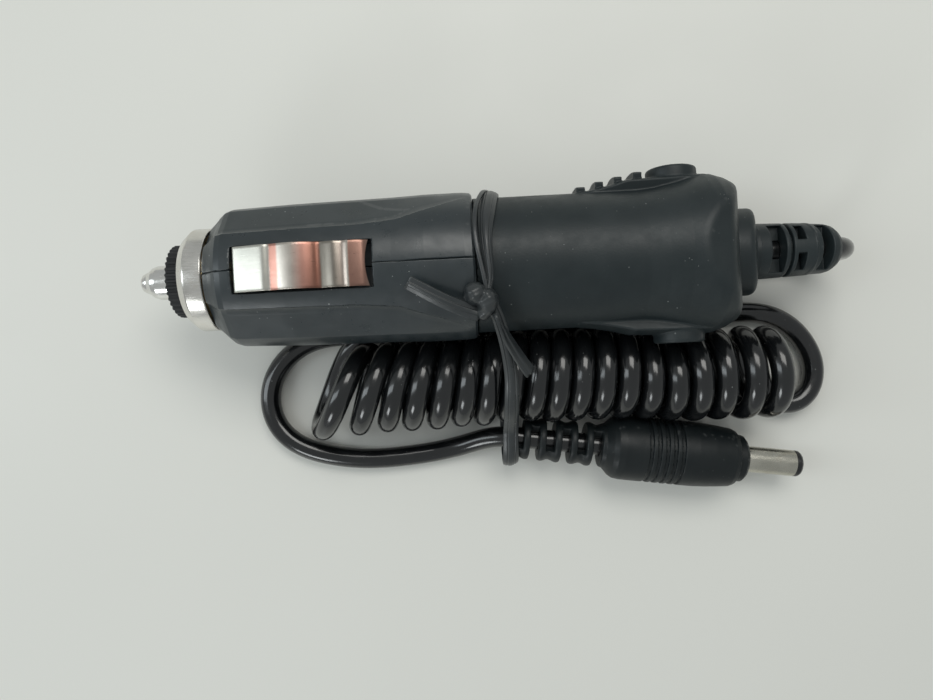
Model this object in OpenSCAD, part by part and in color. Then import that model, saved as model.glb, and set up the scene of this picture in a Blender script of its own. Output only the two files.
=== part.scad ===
// Car accessory power plug with a curly cord and a coaxial DC plug, bundled with a plastic-covered wire tie.
// Frame: origin on the plug's axis, inside its guide band; +X towards the cord end, +Z up,
// +Y away from the coil. The bundle lies on the plane z = floor_z.

/* [Front housing] */
// Radius of the band that guides the plug in a car socket
guide_r = 10.3; // [10.2:0.05:10.4]
// Length of that guide band along the plug
guide_len = 5.2; // [4.8:0.1:5.2]
// Radius of the housing's nose where the metal cap seats
nose_r = 7.4; // [7.3:0.05:7.6]
// Distance from the origin to the nose face
nose_x = 32.7; // [32.6:0.05:32.9]
// Depth of the four sunk flutes
flute_depth = 0.45; // [0.3:0.05:0.6]
// Radius of the room for the fuse and the leads
cavity_r = 5.5; // [5.3:0.05:5.6]

/* [Cap and tip] */
// Radius of the nickel cap ring
ring_r = 7.2; // [7:0.05:7.3]
// Radius of the knurled insulating collar over its teeth
collar_r = 5.1; // [4.9:0.05:5.3]
// Number of teeth round the collar
collar_teeth = 36; // [30:1:40]
// Radius of the tip contact
tip_r = 2.4; // [2.35:0.05:2.45]
// How far the tip stands out of the collar
tip_out = 5.4; // [5:0.1:5.8]

/* [Side contacts] */
// Width of each spring contact
blade_w = 5.9; // [5.6:0.1:6]
// Thickness of the contact strip
blade_t = 0.4; // [0.3:0.05:0.45]
// Width of the slot that each contact works in
slot_w = 6.5; // [6.4:0.05:6.7]

/* [Fuse] */
// Length of the glass fuse
fuse_len = 20; // [19.8:0.1:20]
// Radius of the fuse's end caps
fuse_r = 2.6; // [2.5:0.05:2.6]

/* [Rear grip] */
// Radius of the grip behind the housing
grip_r = 9.4; // [9.2:0.05:9.5]
// Radius of the grip at its wide end
grip_wide_r = 11.15; // [11:0.05:11.15]
// Distance from the origin to the grip's end face
grip_end = 39.9; // [39.9:0.1:40.2]

/* [Cord] */
// Diameter of the cord
cord_d = 3.2; // [3:0.1:3.2]
// Outer radius of the coiled part
coil_r = 7.2; // [7:0.05:7.2]
// Length of the closed coil, without its first turn
coil_len = 61.2; // [60.8:0.1:61.2]

/* [DC plug] */
// Diameter of the DC barrel
barrel_d = 4; // [3.9:0.05:4]
// Diameter of the hole for the centre pin
pin_hole_d = 1.7; // [1.6:0.05:1.75]
// Radius of the moulded body
dc_body_r = 5; // [4.8:0.05:5]

/* [Hidden] */

floor_z = -14.4;
cord_r = cord_d / 2;
run_z = floor_z + cord_r;          // centre height of a cord that lies on the surface
coil_y = -17;                      // the coil lies beside the plug
coil_z = floor_z + coil_r + 0.1;
coil_x0 = -12.6;
dc_tip = [52.3, -32.19, -9.4];     // the DC plug's mouth
dc_turn = -8.4;                    // its heading about Z
blade_pivot = [-27.9, 8.2];        // the contact's root: x, distance from the axis

// Route of the cord from inside the grip, out of the strain relief, down and back under the plug, then
// over the other run and into the coil's slanted first turn.
route_a = [
  [34, 0, 0], [42, 0, 0], [50, 0, 0], [52.6, 0, -0.3], [55.1, 0.1, -1.1], [56.9, 0.2, -2.4], [58.1, 0.3, -4.2],
  [58.6, 0.4, -6.7], [58.1, 0.4, -9.3], [56.9, 0.3, -11], [55, 0.2, -12.2], [52.3, 0, run_z], [46, 0, run_z],
  [36, 0, run_z], [26, 0, run_z], [16, 0, run_z],
  [6, -0.6, run_z], [-1, -2.4, run_z], [-6.5, -4.7, -12.1], [-10.2, -6.7, -10.95], [-13.6, -8.4, -9.58],
  [-16.3, -10.4, -9.9], [-18.4, -13.4, -11.5], [-20.2, -17, run_z], [-21.4, -20.2, -12.4], [-21.9, -22.3, -10.4],
  [-21.2, -23, -7.8], [-20, -22.3, -5], [-18.4, -20.2, -2.5], [-16.8, -17.2, -1.5],
  [-15.5, -14.4, -2.2], [-14.6, -12.2, -4.6], [-13.8, -11.2, -7.4], [-12.62, -11.7, -9.6]
];
// Route of the cord from the coil's far end, round under the plug, round its nose side and into the DC plug.
route_c = [
  [48.7, -20.6, -12.6], [49.6, -22, -12.5], [51.3, -23.1, -12.3], [53.6, -23.05, -12.2], [55.7, -21.6, -12.2], [56.8, -19.2, -12.3],
  [57, -16.8, -12.5], [56.3, -14.2, -12.7], [54.7, -11.6, run_z], [52.2, -9.5, run_z], [49.1, -8.3, run_z], [45, -8, run_z],
  [36, -8.4, run_z], [24, -8.4, run_z], [12, -8.4, run_z], [0, -8.4, run_z], [-10, -8.4, run_z], [-18, -8.4, run_z],
  [-23, -9, run_z], [-26.6, -10.9, run_z], [-29.2, -13.8, run_z], [-30.4, -17.6, run_z], [-29.9, -21.3, run_z],
  [-28, -24.2, run_z], [-24.6, -26.4, run_z], [-19.7, -27.8, run_z], [-14.8, -28.4, run_z], [-9.5, -28.3, run_z],
  [-3.5, -27.7, run_z], [1, -26.7, -12], [4.2, -25.7, -10.5], [7.2, -25.5, -9.5], [10, -25.94, -9.4], [20, -27.42, -9.4]
];
// Route of the wire tie: from the knot round the far side, under the plug and the coil, up round the DC
// plug's strain relief and over the coil, back to the knot.
route_tie = [
  [4.6, -4.6, 10.4], [4.95, -2.8, 10.05], [4.95, -1, 10], [4.8, 0.9, 9.9], [4.75, 2.7, 9.55], [4.85, 4.4, 8.9], [5.1, 6.1, 7.8],
  [5.45, 7.7, 6.2], [5.8, 9, 4.1], [6.05, 9.75, 1.7], [6.2, 9.8, -1.2], [6.2, 9.1, -4], [6.2, 7.6, -6.5], [6.2, 5.2, -8.5],
  [6.2, 2.3, -9.8], [6.3, -1.5, -10.2], [6.5, -6, -10.6], [6.8, -9.2, -10.8], [7, -10.5, -12.3], [7.1, -12, -13.6],
  [7.2, -14, -13.95], [7.3, -17, -13.95], [7.5, -22, -13.95], [7.5, -25.2, -13.8], [7.5, -27.8, -13.1], [7.5, -29.3, -11.6],
  [7.5, -29.7, -9.7], [7.5, -29.1, -7.9], [7.5, -27.6, -6.6], [7.5, -25.8, -5.8], [7.55, -24.2, -5.1], [7.6, -22.8, -3.5],
  [7.6, -21, -1.2], [7.6, -18.6, 0.8], [7.6, -16, 2.3], [7.3, -13.4, 4.1], [6.7, -10.6, 6.3], [5.9, -8, 8.4], [5.1, -6, 9.9]
];

black = [0.05, 0.055, 0.06];
soft_black = [0.10, 0.11, 0.115];
nickel = [0.76, 0.75, 0.72];
brass = [0.72, 0.58, 0.3];

// ---- helpers -------------------------------------------------------------------------------------------
module rev(p) rotate([0, 90, 0]) rotate_extrude($fn = 72) polygon(p);            // p: [radius, x]
module sector(p, mid, half) rotate([mid, 0, 0]) rotate([0, 90, 0]) rotate([0, 0, 180 - half])
  rotate_extrude(angle = 2 * half, $fn = 72) polygon(p);                            // mid = 0 faces +Z
module tube_x(r1, r2, x0, x1) rev([[r1, x0], [r2, x0], [r2, x1], [r1, x1]]);
module rod_x(r, x0, x1) translate([x0, 0, 0]) rotate([0, 90, 0]) cylinder(r = r, h = x1 - x0, $fn = 48);
module box(a, b) translate(a) cube(b - a);
module at_dc() translate(dc_tip) rotate([0, 0, dc_turn]) children();

function unit(v) = v / norm(v);
function heading(p, i) = unit(p[min(i + 1, len(p) - 1)] - p[max(i - 1, 0)]);
function carried(n, t) = unit(n - (n * t) * t);
function normals(p, n0) = [for (i = 0, n = carried(n0, heading(p, 0)); i < len(p);
  i = i + 1, n = i < len(p) ? carried(n, heading(p, i)) : n) n];
// sweeps the section s, a list of [across, along the normal], along the points p
module swept(p, s, n0) {
  ns = normals(p, n0);
  m = len(s);
  pts = [for (i = [0 : len(p) - 1]) let (t = heading(p, i), n = ns[i], b = cross(t, n))
    for (q = s) p[i] + q[0] * b + q[1] * n];
  faces = concat([[for (j = [0 : m - 1]) j]],
    [for (i = [0 : len(p) - 2], j = [0 : m - 1]) let (k = (j + 1) % m) [i * m + j, (i + 1) * m + j, i * m + k]],
    [for (i = [0 : len(p) - 2], j = [0 : m - 1]) let (k = (j + 1) % m) [i * m + k, (i + 1) * m + j, (i + 1) * m + k]],
    [[for (j = [m - 1 : -1 : 0]) (len(p) - 1) * m + j]]);
  polyhedron(points = pts, faces = faces, convexity = 8);
}
function ring(r, n) = [for (j = [0 : n - 1]) [r * cos(360 * (j + 0.5) / n), r * sin(360 * (j + 0.5) / n)]];

// ---- front housing -------------------------------------------------------------------------------------
g0 = -3.2;
g1 = g0 + guide_len;
module housing_outer() rev([
  [0, -nose_x], [nose_r - 0.2, -nose_x], [nose_r, -nose_x + 0.2], [8.1, -31.7], [8.8, -31], [9.35, -30.35], [9.6, -29.6],
  [9.62, -29.2], [9.9, -21.6], [10.03, -14.5], [10.14, -7.4], [guide_r, g0], [guide_r, g1],
  [guide_r - 0.12, 3], [guide_r - 0.4, 3.3], [8.1, 3.3], [8.1, 14], [0, 14]
]);
// one sunk flute: a flat cut whose floor rises and runs out in a point at the guide band
module flute_cut() intersection() {
  translate([-8, 0, 9.556]) rotate([0, -4.6, 0]) translate([-28, -3.1, 0]) cube([44, 8.2, 6]);
  translate([-33.5, 0, 0]) rotate([0, -1.25, 0])
    rotate([90, 0, 90]) linear_extrude(36) polygon([[-3.05, 8.93], [-3.05, 13], [5, 13], [5, 9.0], [3.1, 9.0]]);
  union() {
    translate([-11.5, 15.4, 0]) cylinder(r = 18.45, h = 14, $fn = 120);
    translate([-36, -3.05, 0]) cube([24.5, 9, 14]);
  }
}
module housing_solid() difference() {
  housing_outer();
  for (s = [0, 180]) rotate([s, 0, 0]) {
    rotate([-50, 0, 0]) flute_cut();
    mirror([0, 1, 0]) rotate([-50, 0, 0]) flute_cut();
    // slot for the contact, with a seat for its rolled root and a way in for the strap's leg
    box([-28.7, -slot_w / 2, 6.3], [-9.9, slot_w / 2, 13]);
    box([-28.7, -1.8, 5], [-25.2, 1.8, 7]);
  }
  rev([[0, -34], [6.6, -34], [6.6, -28.9], [cavity_r, -28.9], [cavity_r, 2], [4.6, 3], [4.6, 15], [0, 15]]);
}
module housing_near() color(black) intersection() { housing_solid(); box([-40, -20, -20], [20, 0, 20]); }
module housing_far() color(black) intersection() { housing_solid(); box([-40, 0, -20], [20, 20, 20]); }
module nose_bush() color(brass) rev([[5.6, -32.5], [6.55, -32.5], [6.55, -29], [5.6, -29]]);

// ---- screw cap with the sprung tip ---------------------------------------------------------------------
module cap_ring() color(nickel) rev([
  [4.6, -36.6], [6, -36.6], [6.15, -36.5], [ring_r - 0.08, -35.42], [ring_r, -35.2], [ring_r, -33.05], [ring_r - 0.12, -32.9],
  [5.55, -32.9], [5.55, -29.8], [4.6, -29.8]
]);
module knurled_collar() color(black) difference() {
  union() {
    translate([-38.6, 0, 0]) rotate([0, 90, 0]) linear_extrude(2)
      polygon([for (i = [0 : collar_teeth - 1], k = [[0, collar_r - 0.32], [0.2, collar_r - 0.32], [0.42, collar_r], [0.78, collar_r]])
        [k[1] * cos(360 * (i + k[0]) / collar_teeth), k[1] * sin(360 * (i + k[0]) / collar_teeth)]]);
    rod_x(4.6, -36.7, -33.4);
  }
  rod_x(3.3, -40, -30);
}
module tip_bush() color(black) rev([[2.45, -38.3], [3.25, -38.3], [3.25, -33.3], [4.3, -33.3], [4.3, -32.5], [2.45, -32.5]]);
module tip_contact() color(nickel) rev([
  [0, -38.6 - tip_out], [0.7, -43.88], [1.25, -43.5], [1.5, -43.0], [1.62, -42.7], [2.15, -42.0], [tip_r, -41.3], [tip_r, -32.4],
  [2.9, -32.4], [2.9, -31], [0, -31]
]);

// ---- fuse, spring and inner conductors -----------------------------------------------------------------
f0 = -31;
f1 = f0 + fuse_len;
module fuse_tube() color([0.8, 0.9, 0.9, 0.4]) tube_x(1.9, fuse_r - 0.25, f0 + 0.4, f1 - 0.4);
module fuse_caps() color(nickel) {
  rev([[0, f0], [fuse_r, f0], [fuse_r, f0 + 5], [fuse_r - 0.25, f0 + 5], [fuse_r - 0.25, f0 + 0.4], [0, f0 + 0.4]]);
  rev([[0, f1], [fuse_r, f1], [fuse_r, f1 - 5], [fuse_r - 0.25, f1 - 5], [fuse_r - 0.25, f1 - 0.4], [0, f1 - 0.4]]);
}
module fuse_wire() color(brass) rod_x(0.12, f0 + 0.4, f1 - 0.4);
module fuse_sleeve() color([0.85, 0.84, 0.8]) difference() {
  rev([[3.0, -28.9], [3.8, -28.9], [3.8, -3.9], [3.0, -3.9]]);
}
// open coil spring between the fuse and its seat
spring_x0 = f1 + 0.3;
spring_x1 = -4.6;
spring_turns = 5;
module contact_spring() color(nickel) swept(
  [for (i = [0 : 60]) let (u = i / 60, a = 360 * spring_turns * u)
    [spring_x0 + (spring_x1 - spring_x0) * u, 2.1 * cos(a), 2.1 * sin(a)]],
  ring(0.28, 6), [0, 1, 0]);
module spring_seat() color(brass) union() {
  rev([[0, -3.9], [3.8, -3.9], [3.8, -3.1], [0, -3.1]]);
  rod_x(1.2, -4.3, -3.9);
  rod_x(0.9, -3.1, -1.2);
}
module blade_shape() linear_extrude(blade_w, center = true) polygon(concat(
  [[-27.55, 8.3], [-28.0, 9.0], [-27.8, 9.6], [-27.3, 9.85], [-23.8, 10.7], [-22.9, 10.65], [-22.2, 10.8], [-21.2, 11.1], [-19.8, 11.25],
    [-18.4, 11.15], [-17.4, 10.85], [-16.6, 10.5], [-15.8, 10.55], [-14.6, 10.75], [-13.6, 10.55], [-12.8, 10.7], [-11.2, 10.55], [-10.2, 10.05]],
  [[-10.4, 9.7], [-11.3, 10.15], [-12.8, 10.25], [-13.6, 10.15], [-14.6, 10.35], [-15.8, 10.15], [-16.6, 10.05], [-17.5, 10.45], [-18.5, 10.75],
    [-19.8, 10.85], [-21.1, 10.7], [-22.2, 10.35], [-22.9, 10.25], [-23.8, 10.3], [-27.1, 9.45], [-27.4, 9.35], [-27.5, 9.0], [-27.2, 8.5]]));
module blade() union() {
  rotate([90, 0, 0]) blade_shape();
  translate([blade_pivot[0], 0, blade_pivot[1]]) rotate([90, 0, 0]) cylinder(r = 0.5, h = blade_w, center = true, $fn = 32);
}
module top_contact() color(nickel) blade();
module bottom_contact() color(nickel) rotate([180, 0, 0]) blade();
// ring round the fuse sleeve with a leg up to each contact's root
module ground_strap() color(brass) difference() {
  union() {
    rev([[4.5, -27.6], [5.1, -27.6], [5.1, -25.5], [4.5, -25.5]]);
    for (s = [0, 180]) rotate([s, 0, 0]) box([-28.3, -1.4, 4.8], [-27.3, 1.4, 7.4]);
  }
  rod_x(4.5, -29, -24);
}
module positive_lead() color([0.5, 0.05, 0.05]) swept(
  [[-1.2, 0, 0], [1.5, 0, 0.2], [5, 0, 0.8], [12, 0, 0.9], [33.9, 0, 0.85]], ring(0.6, 8), [0, 1, 0]);
module negative_lead() color([0.06, 0.06, 0.06]) swept(
  [[-25.4, 4.72, 0], [-22, 4.72, 0], [-10, 4.72, 0], [-2.2, 4.6, 0], [2.5, 3, -0.6], [7, 0.8, -1], [14, 0, -0.9], [33.9, 0, -0.85]],
  ring(0.55, 8), [0, 0, 1]);

// ---- rear grip and strain relief -----------------------------------------------------------------------
module grip_side(ribs) {
  sector([[8.5, 16.6], [9.45, 17], [9.74, 18.8], [10.2, 21.7], [10.9, 24.2], [11.05, 27], [11.12, 35.3], [8.5, 35.3]], 0, 30);
  if (ribs) for (q = [[17.2, 18.5, 10.3], [19.8, 21.1, 11], [22.3, 23.6, 11.5], [24.9, 26.2, 12]])
    sector([[9, q[0]], [q[2] - 0.25, q[0]], [q[2], q[0] + 0.25], [q[2], q[1] - 0.25], [q[2] - 0.25, q[1]], [9, q[1]]], 0, 25);
  translate([31.1, 0, 0]) rotate_extrude($fn = 64) polygon([[0, 9], [3.4, 9], [3.4, 12.4], [2.9, 12.85], [0, 12.9]]);
}
module rear_grip() color(soft_black) difference() {
  union() {
    rev([[0, 3.4], [grip_r, 3.4], [grip_r, 26], [9.65, 28.5], [10.2, 31.2], [10.8, 33.6], [grip_wide_r, 35.3], [11, 36.2], [10.3, 38], [9.5, 39.2],
      [8.7, 39.8], [8.2, grip_end], [0, grip_end]]);
    rotate([90, 0, 0]) grip_side(false);
    rotate([-90, 0, 0]) grip_side(true);
  }
  rev([[0, 3], [8.15, 3], [8.15, 14], [4.6, 14], [4.6, 30], [3.4, 33.5], [3.4, 41], [0, 41]]);
}
// the relief is straight to x = 50 and droops towards its end
module relief_end() translate([50, 0, 0]) rotate([0, 12, 0]) difference() {
  rev([[1.75, -0.1], [3.5, -0.1], [3.45, 2.6], [3.3, 3.3], [2.95, 4], [2.3, 4.5], [1.75, 4.5]]);
  box([0.9, -6, 1.85], [2.3, 6, 6]);
  box([0.9, -6, -6], [2.3, 6, -1.85]);
}
module strain_relief() color(soft_black) union() {
  difference() {
    rev([[1.65, 35], [3.35, 35], [3.35, grip_end], [5.8, grip_end], [6.2, 40.4], [6.2, 41.9], [5.7, 42.4], [4, 42.5], [3.85, 46.8],
      [3.64, 50.7], [1.65, 50.7]]);
    box([44, -6, 1.7], [46, 6, 6]);
    box([44, -6, -6], [46, 6, -1.7]);
    box([47.7, -6, 1.75], [48.9, -0.9, 6]);
    box([47.7, 1.1, 1.75], [48.9, 6, 6]);
    box([47.7, -6, -6], [48.9, -0.9, -1.75]);
    box([47.7, 1.1, -6], [48.9, 6, -1.75]);
  }
  relief_end();
}

// ---- cord ----------------------------------------------------------------------------------------------
module cord_from_plug() color(black) swept(route_a, ring(cord_r, 8), [0, 1, 0]);
module cord_to_dc() color(black) swept(route_c, ring(cord_r, 8), [0, 0, 1]);
module cord_coil() color(black) translate([coil_x0, coil_y, coil_z]) rotate([0, 90, 0])
  rotate_extrude($fn = 72) polygon([[0, 0], [coil_r - 1.2, 0], [coil_r, 1.2], [coil_r, coil_len - 1.2], [coil_r - 1.2, coil_len], [0, coil_len]]);

// ---- DC plug, drawn with its mouth at the origin and facing +X -----------------------------------------
module dc_barrel() color(nickel) at_dc() rev([
  [1.45, -15], [2.2, -15], [2.2, -13], [3, -13], [3, -12.2], [2.2, -12.2], [2.2, -8.85], [barrel_d / 2, -8.85],
  [barrel_d / 2, -1], [1.45, -1]
]);
module dc_insulator() color(black) at_dc() rev([
  [1.15, -14], [1.45, -14], [1.45, -1], [barrel_d / 2, -1], [barrel_d / 2, -0.4], [barrel_d / 2 - 0.3, 0], [1.0, 0],
  [1.0, -0.9], [1.15, -0.9]
]);
module dc_centre_contact() color(brass) at_dc() rev([
  [0, -15.5], [1.15, -15.5], [1.15, -0.9], [pin_hole_d / 2, -0.9], [pin_hole_d / 2, -9.4], [0, -9.4]
]);
// one slot of the relief, cut from its top, one side and its underside; the web stays on the other side
module dc_slot(t, s) {
  box([-t - 0.68, s > 0 ? -6 : -2.2, 1.2], [-t + 0.68, s > 0 ? 2.2 : 6, 6]);
  box([-t - 0.68, s > 0 ? -6 : -2.2, -6], [-t + 0.68, s > 0 ? 2.2 : 6, -1.2]);
  box([-t - 0.68, s > 0 ? -6 : 1.2, -6], [-t + 0.68, s > 0 ? -1.2 : 6, 6]);
}
module dc_grip() color(soft_black) at_dc() difference() {
  rev([
    [0, -45.7], [2.85, -45.7], [3.05, -45.5], [3.3, -31.4], [3.5, -30.6], [4.5, -29.6], [dc_body_r, -28.5], [dc_body_r, -16],
    [4.5, -11.2], [4.2, -10.5], [3.6, -10.4], [3.6, -9.3], [3.1, -8.8], [0, -8.8]
  ]);
  rod_x(2.2, -15, -8);
  tube_x(2.1, 3, -13, -12.2);
  rod_x(2.4, -30, -15);
  rod_x(1.65, -48, -30);
  for (t = [19.2 : 1.2 : 24.2]) tube_x(dc_body_r - 0.25, 6, -t - 0.45, -t);
  for (k = [0 : 5]) dc_slot(31.9 + 2.4 * k, k % 2 == 0 ? 1 : -1);
}
module dc_inner_leads() color(brass) at_dc() {
  rod_x(0.45, -32.4, -15.5);
  translate([0, 1.62, 0]) rod_x(0.3, -29.8, -15);
}

// ---- wire tie ------------------------------------------------------------------------------------------
strap = [[-1, -0.4], [-0.7, -0.45], [0.7, -0.45], [1, -0.4], [1, 0.4], [0.7, 0.45], [-0.7, 0.45], [-1, 0.4]];
module tie_loop() color(soft_black) swept(route_tie, strap, [0, 0.1, 1]);
module tie_knot() color(soft_black) union() {
  translate([4, -5.2, 11]) sphere(r = 1.6, $fn = 32);
  translate([4.4, -6.6, 10.4]) sphere(r = 1.25, $fn = 32);
}
module tie_tails() color(soft_black) {
  swept([[3.4, -7.3, 9.9], [1.6, -6.6, 10.3], [-1.4, -5.2, 10.9], [-5.4, -2.9, 11.6]], strap, [0, -0.5, 0.87]);
  swept([[5.2, -7.4, 10.4], [7, -10.6, 7.6], [8.9, -13.6, 4.9], [10.1, -15.3, 3.6]], strap, [0, 0.6, 0.8]);
}

housing_near();
housing_far();
nose_bush();
cap_ring();
knurled_collar();
tip_bush();
tip_contact();
fuse_tube();
fuse_caps();
fuse_wire();
fuse_sleeve();
contact_spring();
spring_seat();
top_contact();
bottom_contact();
ground_strap();
positive_lead();
negative_lead();
rear_grip();
strain_relief();
cord_from_plug();
cord_coil();
cord_to_dc();
dc_grip();
dc_barrel();
dc_insulator();
dc_centre_contact();
dc_inner_leads();
tie_loop();
tie_knot();
tie_tails();
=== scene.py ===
import math

import bpy
import numpy as np
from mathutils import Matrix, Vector


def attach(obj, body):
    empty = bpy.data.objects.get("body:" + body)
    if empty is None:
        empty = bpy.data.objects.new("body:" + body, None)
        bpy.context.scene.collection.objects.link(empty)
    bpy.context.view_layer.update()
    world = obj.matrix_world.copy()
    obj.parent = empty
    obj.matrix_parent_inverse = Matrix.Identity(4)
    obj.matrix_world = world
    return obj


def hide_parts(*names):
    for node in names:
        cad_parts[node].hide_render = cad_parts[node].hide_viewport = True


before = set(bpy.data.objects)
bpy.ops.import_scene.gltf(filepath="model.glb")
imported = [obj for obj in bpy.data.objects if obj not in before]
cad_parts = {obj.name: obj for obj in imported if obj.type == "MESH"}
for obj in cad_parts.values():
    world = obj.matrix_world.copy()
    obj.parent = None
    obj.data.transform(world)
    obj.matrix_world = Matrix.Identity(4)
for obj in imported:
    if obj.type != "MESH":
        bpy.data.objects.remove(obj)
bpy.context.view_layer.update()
MM = 0.001

# ---- camera ---------------------------------------------------------------------------------------------
cam_data = bpy.data.cameras.new("camera")
cam_data.lens = 26.0
cam_data.sensor_width = 36.0
cam_data.clip_start = 0.004
cam_data.clip_end = 6.0
cam = bpy.data.objects.new("camera", cam_data)
bpy.context.scene.collection.objects.link(cam)
cam.location = (0.00155, -0.01177, 0.0957)
cam.rotation_euler = (0.0, 0.0, math.radians(-3.0))
bpy.context.scene.camera = cam
bpy.context.scene.view_settings.view_transform = "Standard"

# ---- places that the CAD's own frame gives ---------------------------------------------------------------
FLOOR = -14.4
CORD_R = 1.6
RUN = FLOOR + CORD_R
COIL_Z = -7.1
DC_TIP = np.array([52.3, -32.19, -9.4])
DC_TURN = math.radians(-8.4)

route_a = [
    [34, 0, 0], [42, 0, 0], [50, 0, 0], [52.6, 0, -0.3], [55.1, 0.1, -1.1], [56.9, 0.2, -2.4], [58.1, 0.3, -4.2],
    [58.6, 0.4, -6.7], [58.1, 0.4, -9.3], [56.9, 0.3, -11], [55, 0.2, -12.2], [52.3, 0, RUN], [46, 0, RUN],
    [36, 0, RUN], [26, 0, RUN], [16, 0, RUN],
    [6, -0.6, RUN], [-1, -2.4, RUN], [-6.5, -4.7, -12.1], [-10.2, -6.7, -10.95], [-13.6, -8.4, -9.58],
    [-16.3, -10.4, -9.9], [-18.4, -13.4, -11.5], [-20.2, -17, RUN], [-21.4, -20.2, -12.4], [-21.9, -22.3, -10.4],
    [-21.2, -23, -7.8], [-20, -22.3, -5], [-18.4, -20.2, -2.5], [-16.8, -17.2, -1.5],
    [-15.5, -14.4, -2.2], [-14.6, -12.2, -4.6], [-13.8, -11.2, -7.4], [-12.62, -11.7, -9.6]]
route_c = [
    [48.6, -19.9, RUN], [49.5, -22, -12.6], [51.3, -23.1, -12.3], [53.6, -23.05, -12.2], [55.7, -21.6, -12.2], [56.8, -19.2, -12.3],
    [57, -16.8, -12.5], [56.3, -14.2, -12.7], [54.7, -11.6, RUN], [52.2, -9.5, RUN], [49.1, -8.3, RUN], [45, -8, RUN],
    [36, -8.4, RUN], [24, -8.4, RUN], [12, -8.4, RUN], [0, -8.4, RUN], [-10, -8.4, RUN], [-18, -8.4, RUN],
    [-23, -9, RUN], [-26.6, -10.9, RUN], [-29.2, -13.8, RUN], [-30.4, -17.6, RUN], [-29.9, -21.3, RUN],
    [-28, -24.2, RUN], [-24.6, -26.4, RUN], [-19.7, -27.8, RUN], [-14.8, -28.4, RUN], [-9.5, -28.3, RUN],
    [-3.5, -27.7, RUN], [1, -26.7, -12], [4.2, -25.7, -10.5], [7.2, -25.5, -9.5], [10, -25.94, -9.4], [16, -26.83, -9.4], [22.2, -27.74, -9.4]]
route_tie = [
    [4.6, -4.6, 10.4], [4.95, -2.8, 10.05], [4.95, -1, 10], [4.8, 0.9, 9.9], [4.75, 2.7, 9.55], [4.85, 4.4, 8.9], [5.1, 6.1, 7.8],
    [5.45, 7.7, 6.2], [5.8, 9, 4.1], [6.05, 9.75, 1.7], [6.2, 9.8, -1.2], [6.2, 9.1, -4], [6.2, 7.6, -6.5], [6.2, 5.2, -8.5],
    [6.2, 2.3, -9.8], [6.3, -1.5, -10.2], [6.5, -6, -10.6], [6.8, -9.2, -10.8], [7, -10.5, -12.3], [7.1, -12, -13.6],
    [7.2, -14, -14.05], [7.3, -17, -14.05], [7.5, -22, -14.05], [7.5, -25.2, -13.8], [7.5, -27.8, -13.1], [7.5, -29.3, -11.6],
    [7.5, -29.7, -9.7], [7.5, -29.1, -7.9], [7.5, -27.6, -6.6], [7.5, -25.8, -5.8], [7.55, -24.2, -5.1], [7.6, -22.8, -3.5],
    [7.6, -21, -1.2], [7.6, -18.6, 0.8], [7.6, -16, 2.3], [7.3, -13.4, 4.1], [6.7, -10.6, 6.3], [5.9, -8, 8.4], [5.1, -6, 9.9]]
edge_tie = [
    [4.5, -4.4, 10.5], [4.25, -2.8, 10.6], [4, -1.3, 10.6], [3.55, 1.2, 10.55], [3.4, 3.8, 9.95], [3.7, 6.6, 8.4],
    [4.6, 9, 5.3], [5.4, 10, 2.2], [5.9, 10, -0.8]]


# ---- distance functions, in millimetres ------------------------------------------------------------------
def smin(a, b, k):
    h = np.clip(0.5 + 0.5 * (b - a) / k, 0, 1)
    return b * (1 - h) + a * h - k * h * (1 - h)


def smax(a, b, k):
    return -smin(-a, -b, k)


def sd_poly(px, py, pts):
    d = np.full(px.shape, 1e9)
    s = np.ones(px.shape)
    for i in range(len(pts)):
        (ax, ay), (bx, by) = pts[i], pts[i - 1]
        ex, ey = bx - ax, by - ay
        wx, wy = px - ax, py - ay
        t = np.clip((wx * ex + wy * ey) / (ex * ex + ey * ey), 0, 1)
        d = np.minimum(d, (wx - ex * t) ** 2 + (wy - ey * t) ** 2)
        c1, c2, c3 = py >= ay, py < by, ex * wy > ey * wx
        s = np.where((c1 & c2 & c3) | (~c1 & ~c2 & ~c3), -s, s)
    return s * np.sqrt(d)


def sd_rev(p, prof, bend=0.0):
    r = np.hypot(p[:, 1], p[:, 2]) + bend
    return sd_poly(r, p[:, 0], [(-6.0 if q[0] == 0 else q[0], q[1]) for q in prof])


def sd_box(p, lo, hi):
    c, h = (np.array(lo) + np.array(hi)) / 2, (np.array(hi) - np.array(lo)) / 2
    q = np.abs(p - c) - h
    return np.linalg.norm(np.maximum(q, 0), axis=1) + np.minimum(q.max(axis=1), 0)


def turned(p, centre, angle, axis):
    """p seen in a frame that is turned by angle about an axis through centre."""
    c, s = math.cos(-angle), math.sin(-angle)
    q = p - np.array(centre, float)
    out = q.copy()
    if axis == "z":
        out[:, 0], out[:, 1] = c * q[:, 0] - s * q[:, 1], s * q[:, 0] + c * q[:, 1]
    else:
        out[:, 0], out[:, 2] = c * q[:, 0] + s * q[:, 2], -s * q[:, 0] + c * q[:, 2]
    return out


HOUSING = [
    (0, -32.7), (7.2, -32.7), (7.4, -32.5), (8.1, -31.7), (8.8, -31), (9.35, -30.35), (9.6, -29.6), (9.62, -29.2),
    (9.9, -21.6), (10.03, -14.5), (10.14, -7.4), (10.3, -3.2), (10.3, 2), (10.18, 3), (9.9, 3.3), (8.1, 3.3), (8.1, 14), (0, 14)]
CAVITY = [(0, -36), (6.6, -36), (6.6, -28.9), (5.5, -28.9), (5.5, 2), (4.6, 3), (4.6, 17), (0, 17)]


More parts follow.
